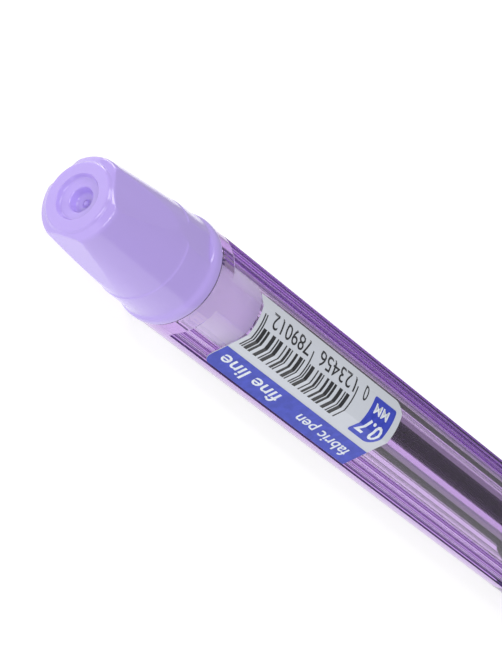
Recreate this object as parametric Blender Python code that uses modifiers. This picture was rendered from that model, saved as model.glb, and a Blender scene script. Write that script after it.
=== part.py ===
"""A capped stick pen for marking fabric, lying on its side with the cap on.

The pen's axis runs along X, from the rear plug at -X to the closed end of the
cap at +X. The origin is under the middle of the pen, on the surface it lies on.
Places along the pen (names ending in _AT) are measured from the rim, where the
rear plug's flange meets the barrel, and count towards the point.
Angles around the pen count from straight up (+Z) towards the front (-Y).
"""
import math

import bmesh
import bpy
from mathutils import Matrix, Vector

MM = 0.001
CLEAR = 0.3 * MM            # between neighbouring pieces that sit loosely
FIT = 0.1 * MM              # between thin nested pieces, such as ink in its tube
PAST = 1.0 * MM             # how far a cutter runs past what it cuts

# --- overall ---
TOTAL_LENGTH = 149.0 * MM
PLUG_LENGTH = 16.0 * MM     # part of the rear plug that shows behind the barrel
CAP_LENGTH = 58.0 * MM

# --- barrel: a round tube with four wide flats ---
BARREL_R = 5.45 * MM
BARREL_FLAT_DEPTH = 0.66 * MM   # how far a flat is cut below the round surface
BARREL_WALL = 2.05 * MM
BARREL_COLLAR = 2.4 * MM    # round collar left at each end of the barrel
FLAT_END = 0.25 * MM        # length of the step up from a flat to the collar
SEAT_DEPTH = 0.85 * MM      # the cap's seat below the barrel's round surface
SEAT_LENGTH = 4.5 * MM
NECK_DEPTH = 0.8 * MM       # the grip's neck below the seat
NECK_LENGTH = 31.0 * MM
TENON_DEPTH = 0.2 * MM      # the nose cone's tenon below the neck
TENON_LENGTH = 5.0 * MM
TENON_WALL = 0.7 * MM

# --- fluted panels, one on the outer half of each wide face ---
PANEL_DEPTH = 0.1 * MM
PANEL_INSET = 0.3 * MM      # panel's edge lies this far past the face's middle
PANEL_CORNER = 0.7 * MM
FLUTE_COUNT = 3
FLUTE_PITCH = 0.92 * MM
FLUTE_FIRST = 0.62 * MM     # first flute's place from the face's middle
FLUTE_R = 0.38 * MM
FLUTE_DEPTH = 0.3 * MM

# --- rear plug ---
PLUG_COLLAR_DEPTH = 0.38 * MM   # collar below the flange
PLUG_COLLAR_LENGTH = 5.2 * MM
PLUG_TAPER = 0.81 * MM      # loss of radius from the collar to the shoulder
PLUG_SHOULDER = 0.95 * MM   # length of the rounded shoulder at its end
PLUG_SHOULDER_WIDTH = 1.01 * MM  # shoulder's width, out from the flat ring on the end
PLUG_RECESS_R = 2.3 * MM
PLUG_RECESS_DEPTH = 0.6 * MM
PLUG_HOLE_R = 1.15 * MM
PLUG_HOLE_DEPTH = 1.0 * MM
PLUG_SPIGOT_LENGTH = 8.8 * MM
PLUG_WALL = 0.9 * MM
PLUG_EDGE = 0.45 * MM       # rounding of the flange's two edges
PLUG_FLANGE_LENGTH = 1.5 * MM
PLUG_SWELL_LENGTH = 2.2 * MM  # gentle slope from the collar up to the flange
PLUG_FLATS = 3
PLUG_FLAT_TURN = 11.0       # degrees from straight up to the middle of the first flat
PLUG_FLAT_SLOPE = 8.4       # degrees
PLUG_FLAT_DEPTH = 0.15 * MM # flat below the collar, beside the flange, where it runs level
PLUG_FLAT_BEND = 6.8 * MM   # from the rim to where the flat starts to slope
PLUG_FLAT_FROM_RIM = 2.2 * MM
PLUG_RIBS = 6
PLUG_RIB_LENGTH = 1.2 * MM
PLUG_RIB_R = 0.25 * MM

# --- refill ---
REFILL_R = 1.2 * MM
REFILL_WALL = 0.3 * MM
REFILL_AT = 15.5 * MM
REFILL_TURN = -83.0         # degrees from straight up to the side of the bore it leans on
REFILL_BEND_BEFORE_MOUTH = 11.5 * MM  # where it starts to bend back to the axis
REFILL_BEND_LENGTH = 20.0 * MM
FOLLOWER_LENGTH = 1.6 * MM
HOLDER_R = 1.5 * MM
HOLDER_LENGTH = 12.0 * MM
HOLDER_PLUG = 5.0 * MM      # stretch of the point holder inside the refill tube
HOLDER_COLLAR = 2.0 * MM    # its widest part, in front of the tube
POINT_R = 1.15 * MM
POINT_LENGTH = 7.5 * MM
POINT_IN_HOLDER = 3.5 * MM
POINT_STRAIGHT = 0.62       # share of the metal point that is not tapered
BALL_R = 0.35 * MM
BALL_SHOWS = 0.25 * MM      # height of the ball's cap outside the metal point

# --- front section ---
GRIP_RIB = 0.2 * MM
GRIP_RIBS = 8
GRIP_PLAIN_END = 1.5 * MM   # smooth stretch at each end of the sleeve
NOSE_WALL = 0.85 * MM
NOSE_TIP_R = 1.9 * MM
NOSE_LENGTH = 17.0 * MM
NOSE_STEP = 1.0 * MM        # short slope between its straight and tapered parts

# --- cap ---
CAP_WALL = 0.85 * MM        # at the flats, around the seat
CAP_FLAT_DEPTH = 0.7 * MM
CAP_ROOM = 0.35 * MM        # between the seat's size and the wider bore in front of it
CAP_TAPER = 1.05 * MM       # loss of radius from the cap's flats to its closed end
CAP_TAPER_SHARE = 0.32      # share of its length that tapers
CAP_END_ROUND = 1.2 * MM
CAP_END_ROUND_TURN = 80.0   # degrees of rounding, up to the taper's line
CAP_END_PLUG_R = 3.9 * MM
CAP_END_HEAD = 0.9 * MM     # depth of the end plug's wide head
CAP_END_PLUG_LENGTH = 3.6 * MM
CUP_R = 3.3 * MM            # inner cup that closes over the nose
CUP_WALL = 0.7 * MM
VENT_R = 0.6 * MM

# --- clip ---
CLIP_WIDTH = 3.6 * MM
CLIP_THICKNESS = 1.3 * MM
CLIP_GAP = 1.2 * MM         # under the clip's arm
CLIP_LENGTH = 42.0 * MM
CLIP_FOOT = 3.0 * MM        # length of the foot along the cap
CLIP_FOOT_DEPTH = 1.0 * MM  # how far the foot goes into the cap's wall
CLIP_FROM_END = 5.0 * MM    # cap's closed end to the clip's foot
CLIP_BUMP_R = 1.0 * MM
CLIP_BUMP_BACK = 2.5 * MM   # bump's middle from the clip's free end
CLIP_BUMP_SUNK = 0.15 * MM  # bump's middle above the arm's underside
CLIP_BUMP_TURNS = (200.0, 340.0)
CLIP_EDGE = 0.585 * MM      # rounding of the clip's outline
CLIP_BEVEL = 0.2 * MM

# --- label ---
LABEL_AT = 7.6 * MM
LABEL_LENGTH = 26.1 * MM
LABEL_THICKNESS = 0.1 * MM
LABEL_LIFT = 0.05 * MM
LABEL_ON_TOP = 1.35 * MM    # width wrapped onto the top face
LABEL_ON_FRONT = 5.0 * MM   # width wrapped onto the front face

# --- worked out from the sizes above ---
BORE_R = BARREL_R - BARREL_WALL
SEAT_R = BARREL_R - SEAT_DEPTH
NECK_R = SEAT_R - NECK_DEPTH
TENON_R = NECK_R - TENON_DEPTH
FRONT_BORE_R = TENON_R - TENON_WALL
NOSE_R = TENON_R + FIT + NOSE_WALL
CAP_HALF = SEAT_R + FIT + CAP_WALL
CAP_R = CAP_HALF + CAP_FLAT_DEPTH
CAP_BORE_R = SEAT_R + CAP_ROOM
CAP_TIP_R = CAP_HALF - CAP_TAPER
FLANGE_R = CAP_HALF         # the pen lies on its cap and on the plug's flange
PLUG_COLLAR_R = FLANGE_R - PLUG_COLLAR_DEPTH
PLUG_TIP_R = PLUG_COLLAR_R - PLUG_TAPER
PLUG_RING_R = PLUG_TIP_R - PLUG_SHOULDER_WIDTH
PLUG_FLAT_R = PLUG_COLLAR_R - PLUG_FLAT_DEPTH
AXIS_Z = FLANGE_R
RIM_X = PLUG_LENGTH - TOTAL_LENGTH / 2
MOUTH_AT = TOTAL_LENGTH - PLUG_LENGTH - CAP_LENGTH
CAP_END_AT = MOUTH_AT + CAP_LENGTH
SHOULDER_AT = MOUTH_AT - CLEAR
NECK_END_AT = SHOULDER_AT + NECK_LENGTH
TENON_AT = NECK_END_AT - TENON_LENGTH
NOSE_AT = TENON_AT + CLEAR
NOSE_END_AT = NOSE_AT + NOSE_LENGTH
SEAT_END_AT = SHOULDER_AT + SEAT_LENGTH
GRIP_AT = SEAT_END_AT + CLEAR
GRIP_END_AT = TENON_AT
HALF_FLATS = BARREL_R - BARREL_FLAT_DEPTH
REFILL_BEND_AT = MOUTH_AT - REFILL_BEND_BEFORE_MOUTH
REFILL_LEAN = BORE_R - REFILL_R - FIT
TURN_STEPS = 48
FINE_STEPS = 24
ARC_STEPS = 4
SHOULDER_STEPS = 6
RIB_STEPS = 8
GRIP_STEPS = 32
BEND_STEPS = 12

# Local Z of a turned or extruded piece lies along the pen (+X), local X along +Y.
ALONG_PEN = Matrix(((0, 0, 1), (1, 0, 0), (0, 1, 0)))
# An outline drawn from the side: local X along the pen, local Y straight up.
SIDE_ON = Matrix(((1, 0, 0), (0, 0, -1), (0, 1, 0)))


def clear_scene():
    for obj in list(bpy.data.objects):
        bpy.data.objects.remove(obj, do_unlink=True)


def new_collection(name):
    made = bpy.data.collections.new(name)
    bpy.context.scene.collection.children.link(made)
    return made


def material(name, colour, roughness, metallic=0.0, transmission=0.0):
    made = bpy.data.materials.new(name)
    made.use_nodes = True
    shader = made.node_tree.nodes["Principled BSDF"]
    shader.inputs["Base Color"].default_value = (*colour, 1.0)
    shader.inputs["Roughness"].default_value = roughness
    shader.inputs["Metallic"].default_value = metallic
    shader.inputs["Transmission Weight"].default_value = transmission
    return made


def on_axis(at):
    """The point of the pen's axis at a distance from the rim."""
    return Vector((RIM_X + at, 0, AXIS_Z))


def add(name, mesh, at, mat=None, rotation=None):
    """An object at a place on the axis: a part if it has a material, else a cutter."""
    obj = bpy.data.objects.new(name, mesh)
    obj.location = on_axis(at)
    obj.rotation_euler = (rotation or ALONG_PEN).to_euler()
    if mat:
        mesh.materials.append(mat)
        PARTS.objects.link(obj)
    else:
        obj.hide_render = True
        obj.display_type = "WIRE"
        CUTTERS.objects.link(obj)
    return obj


def turned(name, profile, at=0.0, mat=None, closed=False, steps=TURN_STEPS):
    """A turned piece: profile points are (place from the rim, radius), from the
    point end to the rear down the outer side. A closed one is a ring."""
    mesh = bpy.data.meshes.new(name)
    verts = [(r, 0, place - at) for place, r in profile]
    edges = [(i, i + 1) for i in range(len(verts) - 1)]
    if closed:
        edges.append((len(verts) - 1, 0))
    mesh.from_pydata(verts, edges, [])
    obj = add(name, mesh, at, mat)
    screw = obj.modifiers.new("turn", "SCREW")
    screw.axis = "Z"
    screw.angle = math.tau
    screw.steps = screw.render_steps = steps
    screw.use_merge_vertices = True
    screw.merge_threshold = 0.001 * MM
    screw.use_smooth_shade = True
    return obj


def as_mesh(name, curve):
    """The mesh of a curve, welded and facing out."""
    source = bpy.data.objects.new(name + "_source", curve)
    bpy.context.scene.collection.objects.link(source)
    evaluated = source.evaluated_get(bpy.context.evaluated_depsgraph_get())
    mesh = bpy.data.meshes.new_from_object(evaluated)
    bpy.data.objects.remove(source)
    weld = bmesh.new()
    weld.from_mesh(mesh)
    bmesh.ops.remove_doubles(weld, verts=weld.verts, dist=0.001 * MM)
    bmesh.ops.recalc_face_normals(weld, faces=weld.faces)
    weld.to_mesh(mesh)
    weld.free()
    mesh.name = name
    return mesh


def prism(name, outline, start, end, mat=None, rotation=None, centre=None):
    """A flat outline extruded along the pen from start to end, as a mesh."""
    curve = bpy.data.curves.new(name, "CURVE")
    curve.dimensions = "2D"
    curve.fill_mode = "BOTH"
    curve.extrude = (end - start) / 2
    spline = curve.splines.new("POLY")
    spline.points.add(len(outline) - 1)
    for point, (u, v) in zip(spline.points, outline):
        point.co = (u, v, 0, 1)
    spline.use_cyclic_u = True
    mesh = as_mesh(name, curve)
    obj = add(name, mesh, (start + end) / 2, mat, rotation)
    if centre is not None:
        obj.location = centre
    return obj


def cut(obj, cutter, operation="DIFFERENCE"):
    step = obj.modifiers.new(cutter.name, "BOOLEAN")
    step.object = cutter
    step.operation = operation
    step.solver = "EXACT"


def arc(centre, radius, start, end, steps=ARC_STEPS):
    """Points (u, v) on an arc, angles in degrees."""
    turns = [math.radians(start + (end - start) * i / steps) for i in range(steps + 1)]
    return [(centre[0] + radius * math.cos(t), centre[1] + radius * math.sin(t)) for t in turns]


def turned_arc(centre, radius, start, end, steps=ARC_STEPS):
    """Profile points (place, radius) on an arc. 0 degrees faces the point end and
    90 degrees faces outwards."""
    return arc(centre, radius, start, end, steps)


def face_frame(turn):
    """Rotation whose local Z is the outward normal of a face turned from straight
    up by an angle in degrees, local X runs along the pen and local Y across it."""
    angle = math.radians(turn)
    normal = Vector((0, -math.sin(angle), math.cos(angle)))
    along = Vector((1, 0, 0))
    return Matrix((along, normal.cross(along), normal)).transposed()


def rounded_rectangle(low, high, radius):
    (x0, y0), (x1, y1) = low, high
    return (arc((x1 - radius, y0 + radius), radius, -90, 0)
            + arc((x1 - radius, y1 - radius), radius, 0, 90)
            + arc((x0 + radius, y1 - radius), radius, 90, 180)
            + arc((x0 + radius, y0 + radius), radius, 180, 270))


def wide_flats(obj, half, start, end, slope_length):
    """Four flats, square to each other, at a distance from the axis. They run from
    start to end and step up to the round part over a short slope."""
    tall = CAP_R
    middle = (start + end) / 2
    half_length = (end - start) / 2
    outline = [(half_length, 0), (half_length + slope_length, tall - half),
               (half_length + slope_length, tall),
               (-half_length - slope_length, tall),
               (-half_length - slope_length, tall - half), (-half_length, 0)]
    for number in range(4):
        frame = face_frame(90.0 * number)
        block = prism(f"{obj.name}_flat_cutter_{number}", outline, 0, 2 * CAP_R,
                      rotation=frame @ SIDE_ON,
                      centre=on_axis(middle) + frame @ Vector((0, 0, half)))
        cut(obj, block)


# --- barrel ---

def fluted_panels(barrel):
    """Shallow panels on the outer halves of the faces, with flutes along them.
    The smooth windows between them face up-front and down-back."""
    start, end = BARREL_COLLAR, SHOULDER_AT - BARREL_COLLAR
    half_length = (end - start) / 2
    middle = on_axis((start + end) / 2)
    # turn of each wide face, and the side of it that is fluted (+1 is its local +Y)
    for number, (turn, side) in enumerate(((0, 1), (90, -1), (180, 1), (270, -1))):
        frame = face_frame(turn)
        floor = HALF_FLATS - PANEL_DEPTH
        tall = HALF_FLATS
        edges = sorted((side * -PANEL_INSET, side * 2 * HALF_FLATS))
        outline = rounded_rectangle((-half_length, edges[0]), (half_length, edges[1]),
                                    PANEL_CORNER)
        lift = frame @ Vector((0, 0, floor + tall / 2))
        cutter = prism(f"panel_cutter_{number}", outline, 0, tall,
                       rotation=frame, centre=middle + lift)
        cut(barrel, cutter)
        for k in range(FLUTE_COUNT):
            across = side * (FLUTE_FIRST + k * FLUTE_PITCH)
            height = HALF_FLATS + FLUTE_R - FLUTE_DEPTH
            profile = (turned_arc((end - FLUTE_R, 0), FLUTE_R, 0, 90)
                       + turned_arc((start + FLUTE_R, 0), FLUTE_R, 90, 180))
            profile[0], profile[-1] = (profile[0][0], 0), (profile[-1][0], 0)
            flute = turned(f"flute_cutter_{number}_{k}", profile,
                           at=(start + end) / 2, steps=16)
            flute.location += frame @ Vector((0, across, height))
            cut(barrel, flute)


def make_barrel():
    body = turned("barrel", [(SHOULDER_AT, 0), (SHOULDER_AT, BARREL_R), (FIT, BARREL_R),
                             (FIT, 0)], mat=CLEAR_VIOLET, steps=2 * TURN_STEPS)
    wide_flats(body, HALF_FLATS, BARREL_COLLAR, SHOULDER_AT - BARREL_COLLAR, FLAT_END)
    root = SHOULDER_AT - SEAT_LENGTH
    neck = turned("barrel_neck", [
        (NECK_END_AT, 0), (NECK_END_AT, TENON_R), (TENON_AT, TENON_R),
        (TENON_AT, NECK_R), (SEAT_END_AT, NECK_R), (SEAT_END_AT, SEAT_R - CLEAR),
        (SEAT_END_AT - SEAT_LENGTH / 3, SEAT_R), (SHOULDER_AT + SEAT_LENGTH / 3, SEAT_R),
        (SHOULDER_AT, SEAT_R - CLEAR), (root, SEAT_R - CLEAR), (root, 0)])
    cut(body, neck, "UNION")
    bore = turned("barrel_bore", [
        (NECK_END_AT + CLEAR, 0), (NECK_END_AT + CLEAR, FRONT_BORE_R),
        (SHOULDER_AT - SEAT_LENGTH, FRONT_BORE_R),
        (SHOULDER_AT - SEAT_LENGTH - (BORE_R - FRONT_BORE_R), BORE_R),
        (CLEAR, BORE_R), (-CLEAR, BORE_R + 2 * CLEAR), (-CLEAR, 0)])
    cut(body, bore)
    fluted_panels(body)
    return body


# --- rear plug ---

def plug_flats(plug):
    """Flats on the plug that run level beside the flange and slope in towards its end."""
    tall = 2 * FLANGE_R
    start = -PLUG_LENGTH - PAST
    low = PLUG_FLAT_R + (start + PLUG_FLAT_BEND) * math.tan(math.radians(PLUG_FLAT_SLOPE))
    end = -PLUG_FLAT_FROM_RIM
    outline = [(start, low), (-PLUG_FLAT_BEND, PLUG_FLAT_R), (end, PLUG_FLAT_R),
               (end + FLAT_END, PLUG_FLAT_R + FLAT_END), (end + FLAT_END, tall), (start, tall)]
    for number in range(PLUG_FLATS):
        frame = face_frame(PLUG_FLAT_TURN + 360.0 / PLUG_FLATS * number)
        cutter = prism(f"plug_flat_cutter_{number}", outline, 0, 2 * FLANGE_R,
                       rotation=frame @ SIDE_ON, centre=on_axis(0))
        cut(plug, cutter)


def plug_outside():
    """The plug's outline from its flange to the ring on its end."""
    flange_r = FLANGE_R - PLUG_EDGE
    profile = [(0, flange_r)]
    profile += turned_arc((-PLUG_EDGE, flange_r), PLUG_EDGE, 0, 90, 3)[1:]
    collar_at = -PLUG_FLANGE_LENGTH - PLUG_SWELL_LENGTH
    profile += [(-PLUG_FLANGE_LENGTH, FLANGE_R - FIT / 2),
                (-PLUG_FLANGE_LENGTH - PLUG_SWELL_LENGTH / 2, (FLANGE_R + PLUG_COLLAR_R) / 2 - FIT),
                (collar_at, PLUG_COLLAR_R), (-PLUG_COLLAR_LENGTH, PLUG_COLLAR_R)]
    slope_end = PLUG_SHOULDER - PLUG_LENGTH
    rise = PLUG_TIP_R - PLUG_RING_R
    for i in range(SHOULDER_STEPS + 1):
        turn = math.radians(90 * i / SHOULDER_STEPS)
        profile.append((slope_end - PLUG_SHOULDER * math.sin(turn),
                        PLUG_RING_R + rise * math.cos(turn)))
    return profile


def make_plug():
    spigot_r = BORE_R - FIT
    hollow_r = spigot_r - PLUG_WALL
    end = -PLUG_LENGTH
    recess = end + PLUG_RECESS_DEPTH
    hole = recess + PLUG_HOLE_DEPTH
    floor = hole + PLUG_WALL
    profile = [(floor, 0), (floor, hollow_r - CLEAR), (PLUG_SPIGOT_LENGTH, hollow_r),
               (PLUG_SPIGOT_LENGTH, spigot_r - CLEAR), (PLUG_SPIGOT_LENGTH - CLEAR, spigot_r),
               (0, spigot_r)]
    profile += plug_outside()
    profile += [(end, PLUG_RECESS_R + FIT), (end + FIT, PLUG_RECESS_R),
                (recess, PLUG_RECESS_R - FIT), (recess, PLUG_HOLE_R + FIT),
                (recess + FIT, PLUG_HOLE_R), (hole, PLUG_HOLE_R - FIT), (hole, 0)]
    plug = turned("rear_plug", profile, mat=LILAC)
    plug_flats(plug)
    for number in range(PLUG_RIBS):
        turn = math.radians(360.0 / PLUG_RIBS * (number + 0.5))
        rib = turned(f"plug_rib_{number}",
                     [(PLUG_RIB_LENGTH, 0), (PLUG_RIB_LENGTH, PLUG_RIB_R),
                      (-FIT, PLUG_RIB_R), (-FIT, 0)], steps=RIB_STEPS)
        middle = BORE_R - FIT / 2 - PLUG_RIB_R
        rib.location += Vector((0, middle * math.sin(turn), middle * math.cos(turn)))
        cut(plug, rib, "UNION")
    return plug


# --- refill ---

def refill_line(at):
    """The middle of the refill: it leans on the bore's side at the rear, and bends
    back to the axis in front."""
    bend = min(max((at - REFILL_BEND_AT) / REFILL_BEND_LENGTH, 0), 1)
    lean = REFILL_LEAN * (1 + math.cos(math.pi * bend)) / 2
    return on_axis(at) + face_frame(REFILL_TURN) @ Vector((0, 0, lean))


def swept(name, radius, start, end, mat=None):
    """A round rod along the refill's line."""
    curve = bpy.data.curves.new(name, "CURVE")
    curve.dimensions = "3D"
    curve.bevel_depth = radius
    curve.bevel_resolution = ARC_STEPS
    curve.use_fill_caps = True
    bends = [REFILL_BEND_AT + REFILL_BEND_LENGTH * i / BEND_STEPS for i in range(BEND_STEPS + 1)]
    places = [start] + [at for at in bends if start + PAST < at < end - PAST] + [end]
    spline = curve.splines.new("POLY")
    spline.points.add(len(places) - 1)
    middle = on_axis(start)
    for point, at in zip(spline.points, places):
        point.co = (*(refill_line(at) - middle), 1)
    mesh = as_mesh(name, curve)
    mesh.shade_smooth()
    return add(name, mesh, start, mat, rotation=Matrix.Identity(3))


def make_refill():
    tube_end = HOLDER_AT + HOLDER_PLUG
    inner = REFILL_R - REFILL_WALL
    tube = swept("refill_tube", REFILL_R, REFILL_AT, tube_end, CLEAR_TUBE)
    cut(tube, swept("refill_bore", inner, REFILL_AT - CLEAR, tube_end + CLEAR))
    filled = inner - FIT
    ink_start = REFILL_AT + FIT + FOLLOWER_LENGTH
    swept("ink_follower", filled, REFILL_AT + FIT, ink_start, GREASE)
    swept("ink_column", filled, ink_start + FIT, HOLDER_AT - FIT, INK)


def make_point():
    """The plastic holder, the metal point pressed into it, and the ball."""
    inner = REFILL_R - REFILL_WALL - FIT
    tube_end = HOLDER_AT + HOLDER_PLUG
    holder_end = HOLDER_AT + HOLDER_LENGTH
    socket = holder_end - POINT_IN_HOLDER
    duct_r = BALL_R
    turned("point_holder", [
        (holder_end, POINT_R + CLEAR), (tube_end + HOLDER_COLLAR, HOLDER_R),
        (tube_end + FIT, HOLDER_R),
        (tube_end + FIT, inner), (HOLDER_AT, inner), (HOLDER_AT, duct_r),
        (socket, duct_r), (socket, POINT_R + FIT / 2), (holder_end, POINT_R + FIT / 2)],
        mat=CLEAR_TUBE, closed=True, steps=FINE_STEPS)
    start = socket + FIT
    end = start + POINT_LENGTH
    rim_r = BALL_R + 2 * FIT
    seat = 2 * BALL_R - BALL_SHOWS + FIT / 2
    straight = start + POINT_LENGTH * POINT_STRAIGHT
    turned("metal_point", [
        (end, rim_r), (straight, POINT_R), (start, POINT_R), (start, FIT),
        (end - seat, FIT), (end - seat, BALL_R + FIT / 2), (end, BALL_R + FIT / 2)],
        mat=STEEL, closed=True, steps=FINE_STEPS)
    centre = end + BALL_SHOWS - BALL_R
    mesh = bpy.data.meshes.new("tip_ball")
    ball = bmesh.new()
    bmesh.ops.create_uvsphere(ball, u_segments=16, v_segments=12, radius=BALL_R)
    ball.to_mesh(mesh)
    ball.free()
    mesh.shade_smooth()
    add("tip_ball", mesh, centre, CARBIDE)


# --- front section ---

def make_grip():
    inner = NECK_R + FIT
    outer = SEAT_R - FIT / 2    # so the cap's mouth passes over it
    pitch = (GRIP_END_AT - GRIP_AT - 2 * GRIP_PLAIN_END) / GRIP_RIBS
    profile = [(GRIP_END_AT - FIT, outer - GRIP_RIB)]
    for number in range(GRIP_RIBS):
        front = GRIP_END_AT - GRIP_PLAIN_END - number * pitch
        profile += [(front, outer - GRIP_RIB), (front - pitch / 4, outer),
                    (front - 3 * pitch / 4, outer)]
    profile += [(GRIP_AT + GRIP_PLAIN_END, outer - GRIP_RIB), (GRIP_AT, outer - GRIP_RIB),
                (GRIP_AT, inner), (GRIP_END_AT - FIT, inner)]
    turned("grip_sleeve", profile, mat=RUBBER, closed=True, steps=GRIP_STEPS)


def make_nose():
    inner = TENON_R + FIT
    shelf = NECK_END_AT + FIT
    throat = HOLDER_AT + HOLDER_PLUG + FIT
    waist = NOSE_AT + TENON_LENGTH
    holder_r = HOLDER_R + FIT
    turned("nose_cone", [
        (NOSE_END_AT, NOSE_TIP_R), (waist, NOSE_R - CLEAR), (waist - NOSE_STEP, NOSE_R),
        (NOSE_AT + CLEAR, NOSE_R), (NOSE_AT, NOSE_R - CLEAR), (NOSE_AT, inner),
        (shelf, inner), (shelf, FRONT_BORE_R), (throat, holder_r),
        (HOLDER_AT + HOLDER_PLUG + HOLDER_COLLAR, holder_r),
        (NOSE_END_AT, POINT_R + CLEAR + FIT)],
        mat=CLEAR_VIOLET, closed=True)


# --- cap ---

def make_cap():
    taper_at = CAP_END_AT - CAP_TAPER_SHARE * CAP_LENGTH
    outside = [(CAP_END_AT, 0)]
    outside += turned_arc((CAP_END_AT - CAP_END_ROUND, CAP_TIP_R - CAP_END_ROUND),
                          CAP_END_ROUND, 0, CAP_END_ROUND_TURN)
    outside += [(taper_at, CAP_R), (MOUTH_AT + CLEAR, CAP_R), (MOUTH_AT, CAP_R - CLEAR),
                (MOUTH_AT, 0)]
    shell = turned("cap_shell", outside, mat=LILAC)
    wide_flats(shell, CAP_HALF, MOUTH_AT - PAST, CAP_END_AT + PAST, FLAT_END)
    cup_seat_at = CUP_END_AT + FIT
    hollow = turned("cap_hollow", [
        (CAP_END_AT + CLEAR, 0), (CAP_END_AT + CLEAR, CAP_END_PLUG_R + FIT),
        (CAP_END_AT - CAP_END_HEAD, CAP_END_PLUG_R + FIT), (CAP_END_AT - CAP_END_HEAD, CUP_R + FIT),
        (cup_seat_at - CUP_LENGTH / 2, CUP_R + FIT), (NOSE_AT + TENON_LENGTH, CAP_BORE_R),
        (SEAT_END_AT, CAP_BORE_R), (SEAT_END_AT - FIT, SEAT_R + FIT),
        (MOUTH_AT + CLEAR, SEAT_R + FIT), (MOUTH_AT - CLEAR, SEAT_R + FIT + 2 * CLEAR),
        (MOUTH_AT - CLEAR, 0)])
    cut(shell, hollow)
    pocket = prism("clip_pocket", [
        (-CLIP_FOOT / 2 - CLEAR, -CLIP_WIDTH / 2 - CLEAR),
        (CLIP_FOOT / 2 + CLEAR, -CLIP_WIDTH / 2 - CLEAR),
        (CLIP_FOOT / 2 + CLEAR, CLIP_WIDTH / 2 + CLEAR),
        (-CLIP_FOOT / 2 - CLEAR, CLIP_WIDTH / 2 + CLEAR)], 0, 2 * CLIP_FOOT_DEPTH + CLEAR,
        rotation=face_frame(0),
        centre=Vector((RIM_X + FOOT_AT, 0, CLIP_FLOOR_Z + CLIP_FOOT_DEPTH)))
    cut(shell, pocket)


def make_cap_inside():
    """The cup that closes over the nose, and the plug in the cap's closed end."""
    cup_open = CUP_END_AT - CUP_LENGTH
    wall = CUP_R - CUP_WALL
    turned("cap_inner_cup", [
        (CUP_END_AT, 0), (CUP_END_AT, CUP_R), (cup_open, CUP_R), (cup_open, wall),
        (CUP_END_AT - CUP_WALL, wall - 2 * FIT), (CUP_END_AT - CUP_WALL, 0)],
        mat=WHITE_PLASTIC, steps=FINE_STEPS)
    head = CAP_END_HEAD - FIT
    spigot_r = CUP_R
    turned("cap_end_plug", [
        (CAP_END_AT, VENT_R), (CAP_END_AT, CAP_END_PLUG_R), (CAP_END_AT - head, CAP_END_PLUG_R),
        (CAP_END_AT - head, spigot_r), (CUP_END_AT + FIT, spigot_r), (CUP_END_AT + FIT, VENT_R)],
        mat=LILAC, closed=True, steps=FINE_STEPS)


def make_clip():
    """A strip over the cap's top face with a bump at its free end, and a foot that
    goes into the cap's wall. Its origin is in the foot, where it bends."""
    arm_low = AXIS_Z + CAP_HALF + CLIP_GAP
    arm_top = arm_low + CLIP_THICKNESS
    foot_low = CLIP_FLOOR_Z + CLEAR
    hinge = Vector((RIM_X + FOOT_AT, 0, AXIS_Z + CAP_HALF - CLIP_FOOT_DEPTH / 2))
    front = CLIP_FOOT / 2
    rear = front - CLIP_LENGTH
    low, top = arm_low - hinge.z, arm_top - hinge.z
    edge_r = CLIP_EDGE
    bump = (rear + CLIP_BUMP_BACK, low + CLIP_BUMP_SUNK)
    outline = [(front, foot_low - hinge.z)]
    outline += arc((front - 2 * edge_r, top - 2 * edge_r), 2 * edge_r, 0, 90)
    outline += arc((rear + edge_r, top - edge_r), edge_r, 90, 180)
    outline += arc(bump, CLIP_BUMP_R, *CLIP_BUMP_TURNS, steps=SHOULDER_STEPS)
    outline += [(-CLIP_FOOT / 2 - edge_r, low), (-CLIP_FOOT / 2, low - edge_r),
                (-CLIP_FOOT / 2, foot_low - hinge.z)]
    clip = prism("cap_clip", outline, 0, CLIP_WIDTH, LILAC, rotation=SIDE_ON, centre=hinge)
    edge = clip.modifiers.new("soft_edges", "BEVEL")
    edge.width = CLIP_BEVEL
    edge.segments = 2
    edge.limit_method = "ANGLE"
    edge.angle_limit = math.radians(60)


# --- label ---

def label_outline(outside):
    """The label's line across the pen, wrapped over the top flat, the round corner
    and the front flat, at a distance outside the barrel."""
    radius = BARREL_R + outside
    flat = HALF_FLATS + outside
    edge = math.degrees(math.acos(flat / radius))
    bare_edge = math.sqrt(BARREL_R ** 2 - HALF_FLATS ** 2)
    corner = arc((0, 0), radius, 90 + edge, 180 - edge, 6)
    return ([(LABEL_ON_TOP - bare_edge, flat)] + corner
            + [(-flat, bare_edge - LABEL_ON_FRONT)])


def make_label():
    outer = label_outline(LABEL_LIFT + LABEL_THICKNESS)
    inner = label_outline(LABEL_LIFT)
    prism("label", outer + inner[::-1], LABEL_AT, LABEL_AT + LABEL_LENGTH, PAPER)


clear_scene()
PARTS = new_collection("fabric_marking_pen")
CUTTERS = new_collection("cutters")

LILAC = material("lilac_plastic", (0.46, 0.35, 0.75), 0.25)
CLEAR_VIOLET = material("clear_violet_plastic", (0.66, 0.52, 0.86), 0.08, transmission=0.9)
CLEAR_TUBE = material("clear_tube_plastic", (0.85, 0.84, 0.88), 0.2, transmission=0.8)
INK = material("violet_ink", (0.05, 0.02, 0.12), 0.3)
GREASE = material("follower_grease", (0.8, 0.78, 0.72), 0.3)
STEEL = material("nickel_silver", (0.7, 0.69, 0.66), 0.25, metallic=1.0)
CARBIDE = material("carbide", (0.35, 0.35, 0.36), 0.2, metallic=1.0)
RUBBER = material("violet_rubber", (0.36, 0.26, 0.6), 0.75)
WHITE_PLASTIC = material("white_plastic", (0.85, 0.85, 0.83), 0.45)
PAPER = material("label_film", (0.8, 0.81, 0.86), 0.5)

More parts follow.
